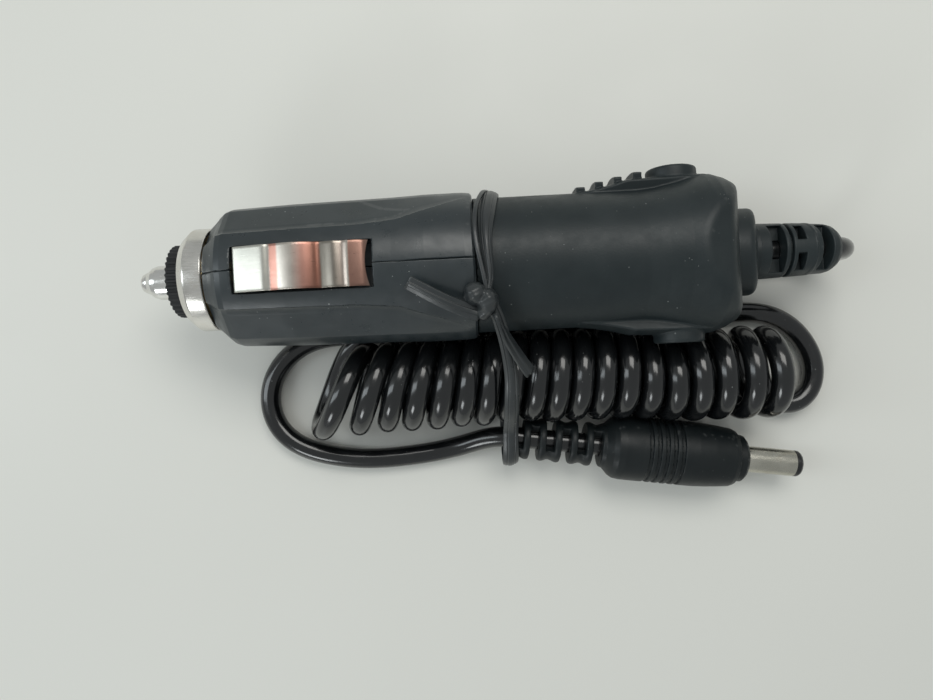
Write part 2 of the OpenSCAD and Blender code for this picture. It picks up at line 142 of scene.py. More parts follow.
def flute_depth(p):
    x = p[:, 0]
    angle = np.degrees(np.arctan2(np.abs(p[:, 1]), np.abs(p[:, 2])))
    first = np.interp(x, [-12.5, -6.75, -1.7, 2.6], [31, 34, 45, 57])
    last = 64.0
    deep = np.interp(x, [-33, -29, -12, -6, -0.6, 2.6], [0.52, 0.60, 0.60, 0.44, 0.13, 0.0])
    cove = np.minimum(8.5, (last - first) * 0.34)
    t = np.clip((angle - first) / cove, 0, 1)
    u = np.clip((angle - first - cove) / (last - first - cove), 0, 1)
    sag = 10.0 * (1 - np.cos(np.radians((last - first - cove) / 2)))
    rise = np.clip(deep / 0.60, 0, 1)
    d = deep * np.sqrt(np.clip(1 - (1 - t) ** 2, 0, 1)) * (1 - u) + rise * sag * 4 * u * (1 - u)
    return np.where((angle < first) | (angle > last), 0.0, d)


def housing(p):
    f = sd_rev(p, HOUSING, flute_depth(p))
    q = np.column_stack([p[:, 0], p[:, 1], np.abs(p[:, 2])])
    f = smax(f, -sd_box(q, (-28.2, -3.05, 6.3), (-9.9, 3.05, 14)), 0.1)
    f = np.maximum(f, -sd_box(q, (-28.7, -1.8, 5), (-25.2, 1.8, 7)))
    return np.maximum(f, -sd_rev(p, CAVITY))


def seam(x):
    """The parting line wanders by a few hundredths of a millimetre."""
    return 0.02 * np.sin(x * 1.3) + 0.012 * np.sin(x * 3.3 + 1)


def housing_near(p):
    return smax(housing(p), p[:, 1] + 0.02 - seam(p[:, 0]), 0.09)


def housing_far(p):
    return smax(housing(p), seam(p[:, 0]) + 0.02 - p[:, 1], 0.09)


GRIP = [
    (0, 3.4), (9.4, 3.4), (9.4, 26), (9.65, 28.5), (10.2, 31.2), (10.75, 33.2), (11.1, 34.7), (11.1, 36), (10.6, 37.6),
    (9.9, 38.9), (9.0, 39.7), (8.4, 39.9), (0, 39.9)]
PAD = [(8.5, 17.3), (9.45, 17.7), (9.7, 19.6), (10.2, 22.2), (10.9, 24.8), (11.0, 27.6), (11.12, 35.3), (8.5, 35.3)]


def grip_outer(p):
    x, r = p[:, 0], np.hypot(p[:, 1], p[:, 2])
    side = np.arctan2(np.abs(p[:, 2]), np.abs(p[:, 1]))
    f = sd_rev(p, GRIP)
    # the end is domed, and the top and underside fall away towards it
    f = smax(f, (np.abs(p[:, 2]) - 10.75 + 0.36 * (x - 32.7)) * 0.94, 0.5)
    f = smax(f, (x - 39.9 + p[:, 2] ** 2 * 0.0357) * 0.86, 0.6)
    f = smin(f, smax(sd_poly(r, x, PAD), (side - math.radians(20)) * r, 0.25), 0.3)
    for x0, x1, top in ((17.9, 19.1, 10.2), (20.5, 21.6, 10.8), (23.1, 24.2, 11.35), (25.75, 26.9, 11.85)):
        rib = smax(np.abs(x - (x0 + x1) / 2) - (x1 - x0) / 2, r - top, 0.14)
        rib = smax(rib, (side - math.radians(15)) * r, 0.16)
        f = smin(f, np.where(p[:, 1] > 0, rib, 5.0), 0.1)
    disc = smax(np.hypot(x - 31.75, p[:, 2]) - 3.5, np.abs(p[:, 1]) - 12.3, 0.5)
    return smin(f, disc, 0.3)


def grip(p):
    bore = [(0, 2.8), (8.15, 2.8), (8.15, 14), (4.6, 14), (4.6, 30), (3.4, 33.5), (3.4, 42), (0, 42)]
    return np.maximum(grip_outer(p), -sd_rev(p, bore))


RELIEF = [
    (0, 35), (3.35, 35), (3.35, 38), (5.7, 38), (6.2, 38.6), (6.2, 42), (5.6, 42.5), (3.95, 42.6), (3.75, 48.5),
    (3.62, 50.3), (0, 50.3)]
RELIEF_END = [(0, -0.4), (3.62, -0.4), (3.5, 2.6), (3.35, 3.3), (2.95, 4.0), (2.3, 4.5), (0, 4.5)]


def relief_outer(p):
    q = turned(p, (50, 0, 0), math.radians(12), "y")
    x, r, z2 = p[:, 0], np.hypot(p[:, 1], p[:, 2]), p[:, 2] ** 2
    f = sd_rev(p, RELIEF)
    # the flange lies on the grip's domed end, and its own face is domed as well
    flange = smax(smax(r - 6.15, (x - 42.4 + z2 * 0.044) * 0.9, 0.7), (39.75 - z2 * 0.036 - x) * 0.9, 0.2)
    sleeve = smax(f, r - np.interp(x, [38, 42.6], [3.35, 4.0]), 0.1)
    return smin(smin(flange, sleeve, 0.3), sd_rev(q, RELIEF_END), 0.25)


def relief(p):
    q = turned(p, (50, 0, 0), math.radians(12), "y")
    m = np.column_stack([p[:, 0], p[:, 1], np.abs(p[:, 2])])
    n = np.column_stack([q[:, 0], q[:, 1], np.abs(q[:, 2])])
    f = relief_outer(p)
    for part, lo, hi in (
        (m, (44.0, -3.2, 1.1), (46.0, 3.2, 7)), (m, (47.65, -3.0, 1.1), (48.85, -0.85, 7)),
        (m, (47.65, 1.0, 1.1), (48.85, 3.0, 7)), (n, (0.55, -3.05, 1.1), (2.3, 3.05, 7))):
        f = smax(f, -sd_box(part, lo, hi), 0.18)
    f = smax(f, -np.maximum(np.abs(p[:, 0] - 46.85) - 0.22, 3.1 - np.hypot(p[:, 1], p[:, 2])), 0.2)
    straight = np.where(p[:, 0] < 50, 1.63 - np.hypot(p[:, 1], p[:, 2]), 1.63 - np.hypot(q[:, 1], q[:, 2]))
    return np.maximum(f, straight)


DC_BODY = [
    (0, -45.7), (2.85, -45.7), (3.05, -45.5), (3.25, -31.4), (3.5, -30.6), (4.45, -29.7), (4.85, -29.0), (5, -28), (5, -17),
    (4.85, -14.5), (4.5, -11.2), (4.2, -10.5), (3.6, -10.4), (3.6, -9.3), (3.1, -8.8), (0, -8.8)]


def dc_outer(p):
    return sd_rev(turned(p, DC_TIP, DC_TURN, "z"), DC_BODY)


def dc_body(p):
    q = turned(p, DC_TIP, DC_TURN, "z")
    x, y, z = q[:, 0], q[:, 1], q[:, 2]
    r = np.hypot(y, z)
    # the relief's rings bulge a little between its slots
    swell = np.where(x < -31.2, 0.17 * np.cos(2 * math.pi * (x + 33.1) / 2.4), 0.0)
    f = sd_rev(q, DC_BODY, -swell)
    for k in range(5):
        t = -(19.2 + 1.2 * k) - 0.225
        f = smax(f, -np.maximum(np.abs(x - t) - 0.25, 4.7 - r), 0.18)
    angle = np.degrees(np.arctan2(-y, z))
    for k in range(6):
        t, wide = 31.9 + 2.4 * k, 0.68
        # open from the top round one side to the underside; a web is left on the other side
        over = angle if k % 2 == 0 else -angle
        start = -46 if k % 2 == 0 else -28
        inside_arc = (over - start) % 360
        open_arc = np.where(inside_arc < 205, np.minimum(inside_arc, 205 - inside_arc), -np.minimum(inside_arc - 205, 360 - inside_arc))
        cut = smax(np.abs(x + t) - wide, -np.radians(open_arc) * np.maximum(r, 1.5), 0.35)
        f = smax(f, -smax(cut, 1.3 - r, 0.1), 0.18)
    f = np.maximum(f, np.minimum(1.63 - r, -x - 30))
    return np.maximum(f, np.minimum(2.0 - r, x + 15))


def push_out(points, solids, need, rounds=6):
    """Moves points out, across the coil's own line, until every solid is at least need away."""
    p = points.copy()
    for _ in range(rounds):
        for f in solids:
            d = f(p)
            bad = d < need
            if not bad.any():
                continue
            g = gradient(f, p[bad], 0.05)
            g[:, 0] = 0
            g /= np.maximum(np.linalg.norm(g, axis=1, keepdims=True), 0.3)
            p[bad] += g * (need - d[bad])[:, None]
    return p


def gradient(f, p, e=0.02):
    g = np.empty_like(p)
    for a in range(3):
        s = np.zeros(3)
        s[a] = e
        g[:, a] = (f(p + s) - f(p - s)) / (2 * e)
    return g / np.maximum(np.linalg.norm(g, axis=1, keepdims=True), 1e-6)


# ---- the cord's own line ---------------------------------------------------------------------------------
tops = [-16.8, -12.4, -8.8, -5.4, -1.8, 1.6, 4.9, 8.3, 11.8, 15, 18.3, 21.6, 25, 28.5, 32, 35.5, 39.1, 43.2, 47.1, 49.6]
phi = np.radians(np.arange(135.0, 360 * 18 + 190, 15))
turn = phi / (2 * math.pi)
along = np.interp(turn, np.arange(len(tops)), tops)
lean = np.interp(along, [-16.8, -12.4, -8.8, 0, 20, 36], [3.0, 1.5, 1.3, 0.65, 0, -0.8])
coil_y = np.interp(along, [-16, -8, 0, 9, 22, 32, 40, 48], [-16.9, -16.6, -16.4, -16.2, -16.4, -17.1, -17.4, -17.4])
radius = 5.68 + 0.07 * np.sin(turn * 2.3) + 0.04 * np.sin(turn * 5.1 + 1)
radius += 0.16 * np.exp(-((phi - phi[0]) / 1.2) ** 2)
# the tie runs under the coil, and lifts the two turns that lie on it
over_tie = np.exp(-((along - 7.4) / 1.9) ** 2) * np.clip(-np.cos(phi), 0, 1) ** 3
radius -= 0.75 * over_tie
helix = np.column_stack([along + lean * np.sin(phi), coil_y + radius * np.sin(phi), COIL_Z + radius * np.cos(phi)])
helix[:, 2] = np.maximum(helix[:, 2], RUN)


def resample(points, spacing):
    """A smooth line through the points, evenly spaced."""
    p = np.array(points, float)
    ext = np.vstack([2 * p[0] - p[1], p, 2 * p[-1] - p[-2]])
    out = []
    for i in range(1, len(ext) - 2):
        p0, p1, p2, p3 = ext[i - 1], ext[i], ext[i + 1], ext[i + 2]
        for t in np.linspace(0, 1, 24, endpoint=False):
            out.append(0.5 * (2 * p1 + (p2 - p0) * t + (2 * p0 - 5 * p1 + 4 * p2 - p3) * t * t + (3 * p1 - p0 - 3 * p2 + p3) * t ** 3))
    out.append(p[-1])
    out = np.array(out)
    length = np.concatenate([[0], np.cumsum(np.linalg.norm(np.diff(out, axis=0), axis=1))])
    n = max(4, int(length[-1] / spacing))
    return np.column_stack([np.interp(np.linspace(0, length[-1], n), length, out[:, a]) for a in range(3)])


def relaxed(line, rounds):
    p = line.copy()
    for _ in range(rounds):
        p[1:-1] += 0.25 * (p[2:] + p[:-2] - 2 * p[1:-1])
    return p


# the whole cord as one line, every half millimetre: stiff enough to round its kinks, on the floor or above it
cord_line = relaxed(resample(route_a + helix.tolist() + route_c, 0.5), 14)
lengths = [int(np.linalg.norm(np.diff(np.array(q), axis=0), axis=1).sum() / 0.5) for q in (route_a, route_c)]
in_coil = np.zeros(len(cord_line), bool)
in_coil[lengths[0] + 6:-lengths[1] - 4] = True
# the shift off the grip and the dc plug is spread along the cord, so that it bends and doesn't kink
for _ in range(8):
    shift = np.zeros_like(cord_line)
    shift[in_coil] = push_out(cord_line[in_coil], [grip_outer, dc_outer], CORD_R + 0.02, 3) - cord_line[in_coil]
    cord_line += 1.4 * relaxed(shift, 90)
cord_line = relaxed(cord_line, 4)
cord_line[:, 2] = np.maximum(cord_line[:, 2], RUN)


# ---- meshes ----------------------------------------------------------------------------------------------
def mesh_object(name, verts, faces, smooth=True, normals=None):
    mesh = bpy.data.meshes.new(name)
    verts = np.asarray(verts, np.float64) * MM
    flat, sizes = [], []
    if isinstance(faces, np.ndarray):
        flat = faces.ravel()
        sizes = np.full(len(faces), faces.shape[1])
    else:
        flat = np.concatenate([np.asarray(f) for f in faces])
        sizes = np.array([len(f) for f in faces])
    mesh.vertices.add(len(verts))
    mesh.vertices.foreach_set("co", verts.astype(np.float32).ravel())
    mesh.loops.add(len(flat))
    mesh.loops.foreach_set("vertex_index", flat.astype(np.int32))
    mesh.polygons.add(len(sizes))
    mesh.polygons.foreach_set("loop_start", np.concatenate([[0], np.cumsum(sizes)[:-1]]).astype(np.int32))
    mesh.update(calc_edges=True)
    mesh.validate()
    mesh.polygons.foreach_set("use_smooth", np.full(len(mesh.polygons), smooth))
    if normals is not None and len(mesh.vertices) == len(normals):
        mesh.normals_split_custom_set_from_vertices(normals.astype(np.float32).tolist())
    obj = bpy.data.objects.new(name, mesh)
    bpy.context.scene.collection.objects.link(obj)
    return obj


def surface(name, f, lo, hi, h, block=8):
    """The surface f = 0 as quads: one point in each cell that it crosses, brought onto the surface."""
    lo, hi = np.array(lo, float), np.array(hi, float)
    n = np.ceil((hi - lo) / h / block).astype(int)
    size = n * block + 1
    field = np.full(size, 1.0)
    bi, bj, bk = np.meshgrid(*[np.arange(m) for m in n], indexing="ij")
    blocks = np.column_stack([bi.ravel(), bj.ravel(), bk.ravel()])
    centres = lo + (blocks + 0.5) * block * h
    near = f(centres)
    live = np.abs(near) < block * h * 0.5 * math.sqrt(3) * 1.35 + 0.25
    for b, v in zip(blocks[~live], near[~live]):
        s = b * block
        field[s[0]:s[0] + block + 1, s[1]:s[1] + block + 1, s[2]:s[2] + block + 1] = 1.0 if v > 0 else -1.0
    g = np.arange(block + 1)
    gx, gy, gz = np.meshgrid(g, g, g, indexing="ij")
    local = np.column_stack([gx.ravel(), gy.ravel(), gz.ravel()])
    alive = blocks[live]
    for start in range(0, len(alive), 400):
        part = alive[start:start + 400]
        index = (part[:, None, :] * block + local[None]).reshape(-1, 3)
        values = f(lo + index * h)
        field[index[:, 0], index[:, 1], index[:, 2]] = values
    inside = field < 0
    count = np.zeros(np.array(size) - 1, np.int8)
    for dx in (0, 1):
        for dy in (0, 1):
            for dz in (0, 1):
                count += inside[dx:size[0] - 1 + dx, dy:size[1] - 1 + dy, dz:size[2] - 1 + dz]
    cells = np.argwhere((count > 0) & (count < 8))
    number = np.full(count.shape, -1, np.int64)
    number[tuple(cells.T)] = np.arange(len(cells))
    total, hits = np.zeros((len(cells), 3)), np.zeros(len(cells))
    corner = [np.array(c) for c in np.ndindex(2, 2, 2)]
    for a in corner:
        for axis in range(3):
            if a[axis]:
                continue
            b = a.copy()
            b[axis] = 1
            va, vb = field[tuple((cells + a).T)], field[tuple((cells + b).T)]
            cross = (va < 0) != (vb < 0)
            t = np.where(cross, va / np.where(cross, va - vb, 1), 0)
            total += np.where(cross[:, None], a + t[:, None] * (b - a), 0)
            hits += cross
    verts = lo + (cells + total / hits[:, None]) * h
    for _ in range(3):
        d = f(verts)
        g3 = gradient(f, verts)
        verts -= g3 * np.clip(d, -0.4 * h, 0.4 * h)[:, None]
    quads = []
    for axis in range(3):
        u, v = [a for a in range(3) if a != axis]
        lo_slice, hi_slice = [slice(None)] * 3, [slice(None)] * 3
        lo_slice[axis], hi_slice[axis] = slice(0, size[axis] - 1), slice(1, size[axis])
        cross = inside[tuple(lo_slice)] != inside[tuple(hi_slice)]
        at = np.argwhere(cross)
        ok = (at[:, u] > 0) & (at[:, v] > 0) & (at[:, u] < size[u] - 1) & (at[:, v] < size[v] - 1)
        at = at[ok]
        starts_in = inside[tuple(at.T)]
        ring = []
        for du, dv in ((-1, -1), (0, -1), (0, 0), (-1, 0)):
            c = at.copy()
            c[:, u] += du
            c[:, v] += dv
            ring.append(number[tuple(c.T)])
        q = np.column_stack(ring)
        flip = starts_in if axis != 1 else ~starts_in
        q[~flip] = q[~flip][:, ::-1]
        quads.append(q)
    quads = np.concatenate(quads)
    return mesh_object(name, verts, quads, True, gradient(f, verts, 0.04))


def rounded(points, radii, steps=5):
    """A closed outline with its corners rounded: points with a radius each."""
    out = []
    n = len(points)
    for i in range(n):
        p, a, b = np.array(points[i], float), np.array(points[i - 1], float), np.array(points[(i + 1) % n], float)
        r = radii[i] if hasattr(radii, "__len__") else radii
        u, v = a - p, b - p
        lu, lv = np.linalg.norm(u), np.linalg.norm(v)
        u, v = u / lu, v / lv
        angle = math.acos(float(np.clip(u @ v, -1, 1)))
        cut = min(r / math.tan(angle / 2) if angle > 1e-3 else 0, 0.45 * lu, 0.45 * lv) if r > 0 and angle < math.pi - 0.02 else 0
        if cut <= 1e-6:
            out.append(p)
            continue
        s, e = p + u * cut, p + v * cut
        for k in range(steps + 1):
            t = k / steps
            out.append((1 - t) ** 2 * s + 2 * t * (1 - t) * p + t * t * e)
    return np.array(out)


def lathe(name, outline, segments=144, shape=None, place=None):
    """Turns a closed outline of [radius, x] about the X axis. Points on the axis become one point each."""
    outline = np.array(outline, float)
    m = len(outline)
    theta = np.arange(segments) * 2 * math.pi / segments
    verts, ids = [], []
    for r, x in outline:
        if r < 1e-6:
            ids.append([len(verts)] * segments)
            verts.append((x, 0.0, 0.0))
        else:
            rr = r + (shape(r, x, theta) if shape is not None else np.zeros(segments))
            ids.append(list(range(len(verts), len(verts) + segments)))
            verts += [(x, rr[k] * math.sin(theta[k]), rr[k] * math.cos(theta[k])) for k in range(segments)]
    faces = []
    for i in range(m):
        a, b = ids[i], ids[(i + 1) % m]
        if a[0] == a[1] and b[0] == b[1]:
            continue
        for k in range(segments):
            j = (k + 1) % segments
            q = [a[k], a[j], b[j], b[k]]
            q = [v for t, v in enumerate(q) if v != q[t - 1]]
            if len(set(q)) >= 3:
                faces.append(q)
    verts = np.array(verts)
    if place is not None:
        verts = place(verts)
    obj = mesh_object(name, verts, faces)
    tidy(obj)
    weighted = obj.modifiers.new("flat_faces", "WEIGHTED_NORMAL")
    weighted.keep_sharp = False
    return obj


def tidy(obj):
    """Faces all look outwards."""
    import bmesh
    bm = bmesh.new()
    bm.from_mesh(obj.data)
    bmesh.ops.remove_doubles(bm, verts=bm.verts, dist=1e-7)
    bmesh.ops.recalc_face_normals(bm, faces=bm.faces)
    for face in bm.faces:
        face.smooth = True
    bm.to_mesh(obj.data)
    bm.free()


def at_dc(verts):
    c, s = math.cos(DC_TURN), math.sin(DC_TURN)
    out = verts.copy()
    out[:, 0], out[:, 1] = c * verts[:, 0] - s * verts[:, 1], s * verts[:, 0] + c * verts[:, 1]
    return out + DC_TIP


def ribbon(name, points, section, first, twist=None, widths=None, spacing=0.35):
    """Sweeps a closed section of [across, out] along the points. first is the way out at the start."""
    line = resample(points, spacing)
    n = len(line)
    tangent = np.gradient(line, axis=0)
    tangent /= np.linalg.norm(tangent, axis=1, keepdims=True)
    normal = np.array(first, float)
    rings = []
    sec = np.array(section, float)
    for i in range(n):
        normal = normal - (normal @ tangent[i]) * tangent[i]
        normal /= np.linalg.norm(normal)
        side = np.cross(tangent[i], normal)
        a = math.radians(np.interp(i / (n - 1), [q[0] for q in twist], [q[1] for q in twist])) if twist else 0.0
        nn = math.cos(a) * normal + math.sin(a) * side
        ss = math.cos(a) * side - math.sin(a) * normal
        w = np.interp(i / (n - 1), [q[0] for q in widths], [q[1] for q in widths]) if widths else 1.0
        rings.append(line[i] + sec[:, :1] * w * ss + sec[:, 1:] * nn)
    verts = np.concatenate(rings)
    m = len(sec)
    faces = [list(range(m))[::-1], [(n - 1) * m + k for k in range(m)]]
    faces += [[i * m + k, i * m + (k + 1) % m, (i + 1) * m + (k + 1) % m, (i + 1) * m + k] for i in range(n - 1) for k in range(m)]
    obj = mesh_object(name, verts, faces)
    tidy(obj)
    return obj


def tube(name, line, radius, sides):
    """A round tube along a line that is already evenly spaced."""
    n = len(line)
    tangent = np.gradient(line, axis=0)
    tangent /= np.linalg.norm(tangent, axis=1, keepdims=True)
    normal = np.array([0.0, 1.0, 0.02])
    turnings = np.arange(sides) * 2 * math.pi / sides
    rings = []
    for i in range(n):
        normal = normal - (normal @ tangent[i]) * tangent[i]
        normal /= np.linalg.norm(normal)
        side = np.cross(tangent[i], normal)
        rings.append(line[i] + radius * (np.cos(turnings)[:, None] * side + np.sin(turnings)[:, None] * normal))
    a = (np.arange(n - 1)[:, None] * sides + np.arange(sides)[None]).ravel()
    b = (np.arange(n - 1)[:, None] * sides + (np.arange(sides)[None] + 1) % sides).ravel()
    faces = np.column_stack([a, a + sides, b + sides, b]).tolist()
    faces += [list(range(sides)), [(n - 1) * sides + k for k in range(sides)][::-1]]
    return mesh_object(name, np.concatenate(rings), faces)


# ---- materials -------------------------------------------------------------------------------------------
class Nodes:
    """One procedural material, in the object's own coordinates in metres."""

    def __init__(self, name):
        self.m = bpy.data.materials.new(name)
        self.m.use_nodes = True
        self.t = self.m.node_tree
        self.b = self.t.nodes["Principled BSDF"]
        self.coord = self.t.nodes.new("ShaderNodeTexCoord").outputs["Object"]

    def new(self, kind, **values):
        node = self.t.nodes.new(kind)
        for k, v in values.items():
            if k in node.inputs:
                node.inputs[k].default_value = v
            else:
                setattr(node, k, v)
        return node

    def link(self, a, b):
        self.t.links.new(a, b)

    def noise(self, scale, detail=3.0, rough=0.5, stretch=None):
        node = self.new("ShaderNodeTexNoise", Scale=scale, Detail=detail, Roughness=rough)
        if stretch is None:
            self.link(self.coord, node.inputs["Vector"])
        else:
            mapping = self.new("ShaderNodeMapping")
            mapping.inputs["Scale"].default_value = stretch
            self.link(self.coord, mapping.inputs["Vector"])
            self.link(mapping.outputs[0], node.inputs["Vector"])
        return node.outputs["Fac"]

    def spots(self, scale, size, randomness=1.0):
        node = self.new("ShaderNodeTexVoronoi", Scale=scale, Randomness=randomness)
        self.link(self.coord, node.inputs["Vector"])
        return self.ramp(node.outputs["Distance"], [(size * 0.55, 1), (size, 0)])

    def ramp(self, source, stops):
        node = self.new("ShaderNodeValToRGB")
        e = node.color_ramp.elements
        while len(e) < len(stops):
            e.new(0.5)
        for k, (at, v) in enumerate(stops):
            e[k].position = at
            e[k].color = (v, v, v, 1) if not hasattr(v, "__len__") else (*v, 1)
        self.link(source, node.inputs["Fac"])
        return node.outputs["Color"]

    def mix(self, fac, a, b):
        node = self.new("ShaderNodeMix")
        node.data_type = "RGBA"
        if hasattr(fac, "is_linked"):
            self.link(fac, node.inputs[0])
        else:
            node.inputs[0].default_value = fac
        for socket, v in ((node.inputs[6], a), (node.inputs[7], b)):
            if hasattr(v, "is_linked"):
                self.link(v, socket)
            else:
                socket.default_value = (*v, 1)
        return node.outputs[2]

    def math(self, op, a, b):
        node = self.new("ShaderNodeMath", operation=op)
        for k, v in enumerate((a, b)):
            if hasattr(v, "is_linked"):
                self.link(v, node.inputs[k])
            else:
                node.inputs[k].default_value = v
        return node.outputs[0]

    def edge(self, low=0.5, high=0.62):
        geo = self.new("ShaderNodeNewGeometry")
        return self.ramp(geo.outputs["Pointiness"], [(low, 0), (high, 1)])

    def bump(self, *layers):
        """Layers of (height, strength, distance in metres)."""
        last = None
        for height, strength, distance in layers:
            node = self.new("ShaderNodeBump", Strength=strength, Distance=distance)
            self.link(height, node.inputs["Height"])
            if last is not None:
                self.link(last, node.inputs["Normal"])
            last = node.outputs["Normal"]
        self.link(last, self.b.inputs["Normal"])

    def set(self, **values):
        for k, v in values.items():
            k = k.replace("_", " ")
            if hasattr(v, "is_linked"):
                self.link(v, self.b.inputs[k])
            elif hasattr(v, "__len__"):
                self.b.inputs[k].default_value = (*v, 1)
            else:
                self.b.inputs[k].default_value = v


def plastic(name, dark, light, rough, grain=0.10, dust=0.0, grain_scale=2600, spec=0.5, coat=0.0, wear_and_painted_reflection=(0.10, 0.105, 0.105)):
    n = Nodes(name)
    base = n.mix(n.ramp(n.noise(170, 4, 0.6), [(0.35, 0), (0.68, 1)]), dark, light)
    base = n.mix(n.math("MULTIPLY", n.edge(0.53, 0.68), 0.35), base, wear_and_painted_reflection)
    if dust:
        specks = n.math("MULTIPLY", n.spots(520, 0.055), n.ramp(n.noise(90, 2), [(0.5, 0), (0.56, 1)]))
        lint = n.math("MULTIPLY", n.spots(1500, 0.10), n.ramp(n.noise(300, 2), [(0.56, 0), (0.62, 1)]))
        base = n.mix(n.math("MULTIPLY", n.math("MAXIMUM", specks, lint), dust), base, (0.42, 0.44, 0.43))
    fine = n.noise(grain_scale, 3, 0.6)
    n.set(Base_Color=base, Specular_IOR_Level=spec, Coat_Weight=coat, Coat_Roughness=0.12,
          Roughness=n.ramp(n.noise(420, 4, 0.65), [(0.3, max(rough - 0.07, 0.03)), (0.72, rough + 0.08)]))
    n.bump((fine, grain, 0.00004), (n.noise(330, 3), 0.12, 0.0001))
    return n.m


def metal(name, dark, light, rough, lines=(1, 1, 1), line_scale=900, tarnish=(0.42, 0.33, 0.24), dirt=0.2):
    n = Nodes(name)
    streak = n.noise(line_scale, 4, 0.7, lines)
    base = n.mix(n.ramp(n.noise(260, 4, 0.6), [(0.38, 0), (0.66, 1)]), dark, light)
    base = n.mix(n.math("MULTIPLY", n.ramp(n.noise(520, 5, 0.7), [(0.52, 0), (0.66, 1)]), dirt), base, tarnish)
    n.set(Base_Color=base, Metallic=1.0, Roughness=n.ramp(streak, [(0.3, max(rough - 0.06, 0.04)), (0.72, rough + 0.12)]))
    n.bump((streak, 0.12, 0.00003), (n.noise(600, 3), 0.10, 0.00005))
    return n.m


M = {
    "shell": plastic("shell_black", (0.0185, 0.0255, 0.0285), (0.026, 0.034, 0.038), 0.33, 0.10, dust=0.75, spec=0.62, grain_scale=2200),
    "soft": plastic("soft_charcoal", (0.0125, 0.0185, 0.0205), (0.018, 0.025, 0.027), 0.44, 0.30, dust=0.45, spec=0.36, grain_scale=3200, wear_and_painted_reflection=(0.08, 0.086, 0.086)),
    "dc_soft": plastic("dc_charcoal", (0.0060, 0.0088, 0.0098), (0.0098, 0.013, 0.014), 0.42, 0.32, dust=0.35, spec=0.30, grain_scale=3400),
    "jacket": plastic("cord_black", (0.0040, 0.0046, 0.0052), (0.0065, 0.0072, 0.0080), 0.17, 0.09, dust=0.35, spec=0.60, grain_scale=1400, coat=0.25),
    "tie": plastic("tie_charcoal", (0.020, 0.024, 0.026), (0.033, 0.038, 0.040), 0.33, 0.22, dust=0.3, spec=0.55, grain_scale=2400),
    "matte": plastic("matte_black", (0.010, 0.011, 0.012), (0.017, 0.018, 0.019), 0.55, 0.30, dust=0.4, spec=0.40),
    "mouth": plastic("mouth_black", (0.007, 0.0075, 0.008), (0.011, 0.0115, 0.012), 0.30, 0.12, spec=0.50),
    "nickel": metal("nickel_plate", (0.66, 0.64, 0.60), (0.80, 0.78, 0.74), 0.20, (1, 14, 14), 500, dirt=0.22),
    "tip": metal("tip_nickel", (0.72, 0.71, 0.69), (0.84, 0.83, 0.80), 0.17, (1, 12, 12), 500, dirt=0.16),
    "barrel": metal("barrel_nickel", (0.46, 0.445, 0.385), (0.60, 0.58, 0.51), 0.24, (1, 10, 10), 500, tarnish=(0.26, 0.22, 0.15), dirt=0.4),
    "brass": metal("brass_satin", (0.55, 0.42, 0.20), (0.72, 0.57, 0.29), 0.32, dirt=0.3),
    "steel": metal("spring_wire", (0.42, 0.42, 0.42), (0.58, 0.58, 0.58), 0.28),
    "fuse_metal": metal("fuse_metal", (0.50, 0.46, 0.36), (0.62, 0.57, 0.46), 0.3),
    "natural": plastic("natural_plastic", (0.66, 0.64, 0.58), (0.78, 0.76, 0.70), 0.45, 0.2, wear_and_painted_reflection=(0.8, 0.78, 0.72)),
    "red": plastic("red_insulation", (0.34, 0.022, 0.02), (0.46, 0.035, 0.03), 0.4, 0.2, wear_and_painted_reflection=(0.5, 0.1, 0.08)),
    "black_wire": plastic("black_insulation", (0.02, 0.02, 0.02), (0.034, 0.034, 0.034), 0.42, 0.2),
}


def contact_metal():
    """Nickel strip with painted reflections: reddish reflection bands and darker reflection bands laid into its colour
    along the strip.
    """
    n = Nodes("contact_nickel_painted_reflections")
    sep = n.new("ShaderNodeSeparateXYZ")
    n.link(n.coord, sep.inputs[0])
    streak = n.noise(700, 4, 0.7, (1.0, 9.0, 1.0))
    base = n.mix(n.ramp(n.noise(300, 4, 0.6), [(0.36, 0), (0.66, 1)]), (0.50, 0.50, 0.45), (0.60, 0.59, 0.53))
    # place along the strip, 0 at the root and 1 at the free end, with a ragged edge
    place = n.math("MULTIPLY", n.math("ADD", sep.outputs["X"], 0.0280), 1 / 0.0178)
    place = n.math("ADD", place, n.math("MULTIPLY", n.math("SUBTRACT", n.noise(900, 4, 0.7), 0.5), 0.014))
    # painted reflection: reddish bands of reflected colour along the strip, laid in as a copper tone
    wear_and_painted_reflection = n.ramp(place, [
        (0.0, 0.0), (0.285, 0.03), (0.30, 0.72), (0.345, 0.70), (0.36, 0.10), (0.45, 0.14), (0.53, 0.70), (0.625, 1.0), (0.65, 0.85),
        (0.66, 0.08), (0.74, 0.10), (0.80, 0.26), (0.835, 0.2), (0.85, 0.08), (0.86, 0.74), (0.97, 0.74), (1.0, 0.5)])
    base = n.mix(wear_and_painted_reflection, base, (0.50, 0.16, 0.11))
    # painted reflection: dark reflection bands over the back of the strip and its free end
    base = n.mix(n.ramp(place, [(0.0, 0.0), (0.50, 0.0), (0.60, 0.62), (0.76, 0.62), (0.845, 0.1), (0.865, 0.55), (1.0, 0.6)]), base, (0.10, 0.085, 0.065))
    n.set(Base_Color=base, Metallic=1.0, Roughness=n.ramp(streak, [(0.3, 0.27), (0.72, 0.36)]))
    n.bump((streak, 0.05, 0.00002), (n.noise(500, 3), 0.08, 0.00005))
    return n.m


M["contact"] = contact_metal()


def glass_material():
    n = Nodes("fuse_glass")
    n.set(Base_Color=n.mix(n.noise(400, 2), (0.90, 0.95, 0.95), (0.97, 1.0, 1.0)), Transmission_Weight=1.0, IOR=1.5,
          Roughness=n.ramp(n.noise(900, 3), [(0.3, 0.02), (0.8, 0.09)]))
    return n.m


M["glass"] = glass_material()


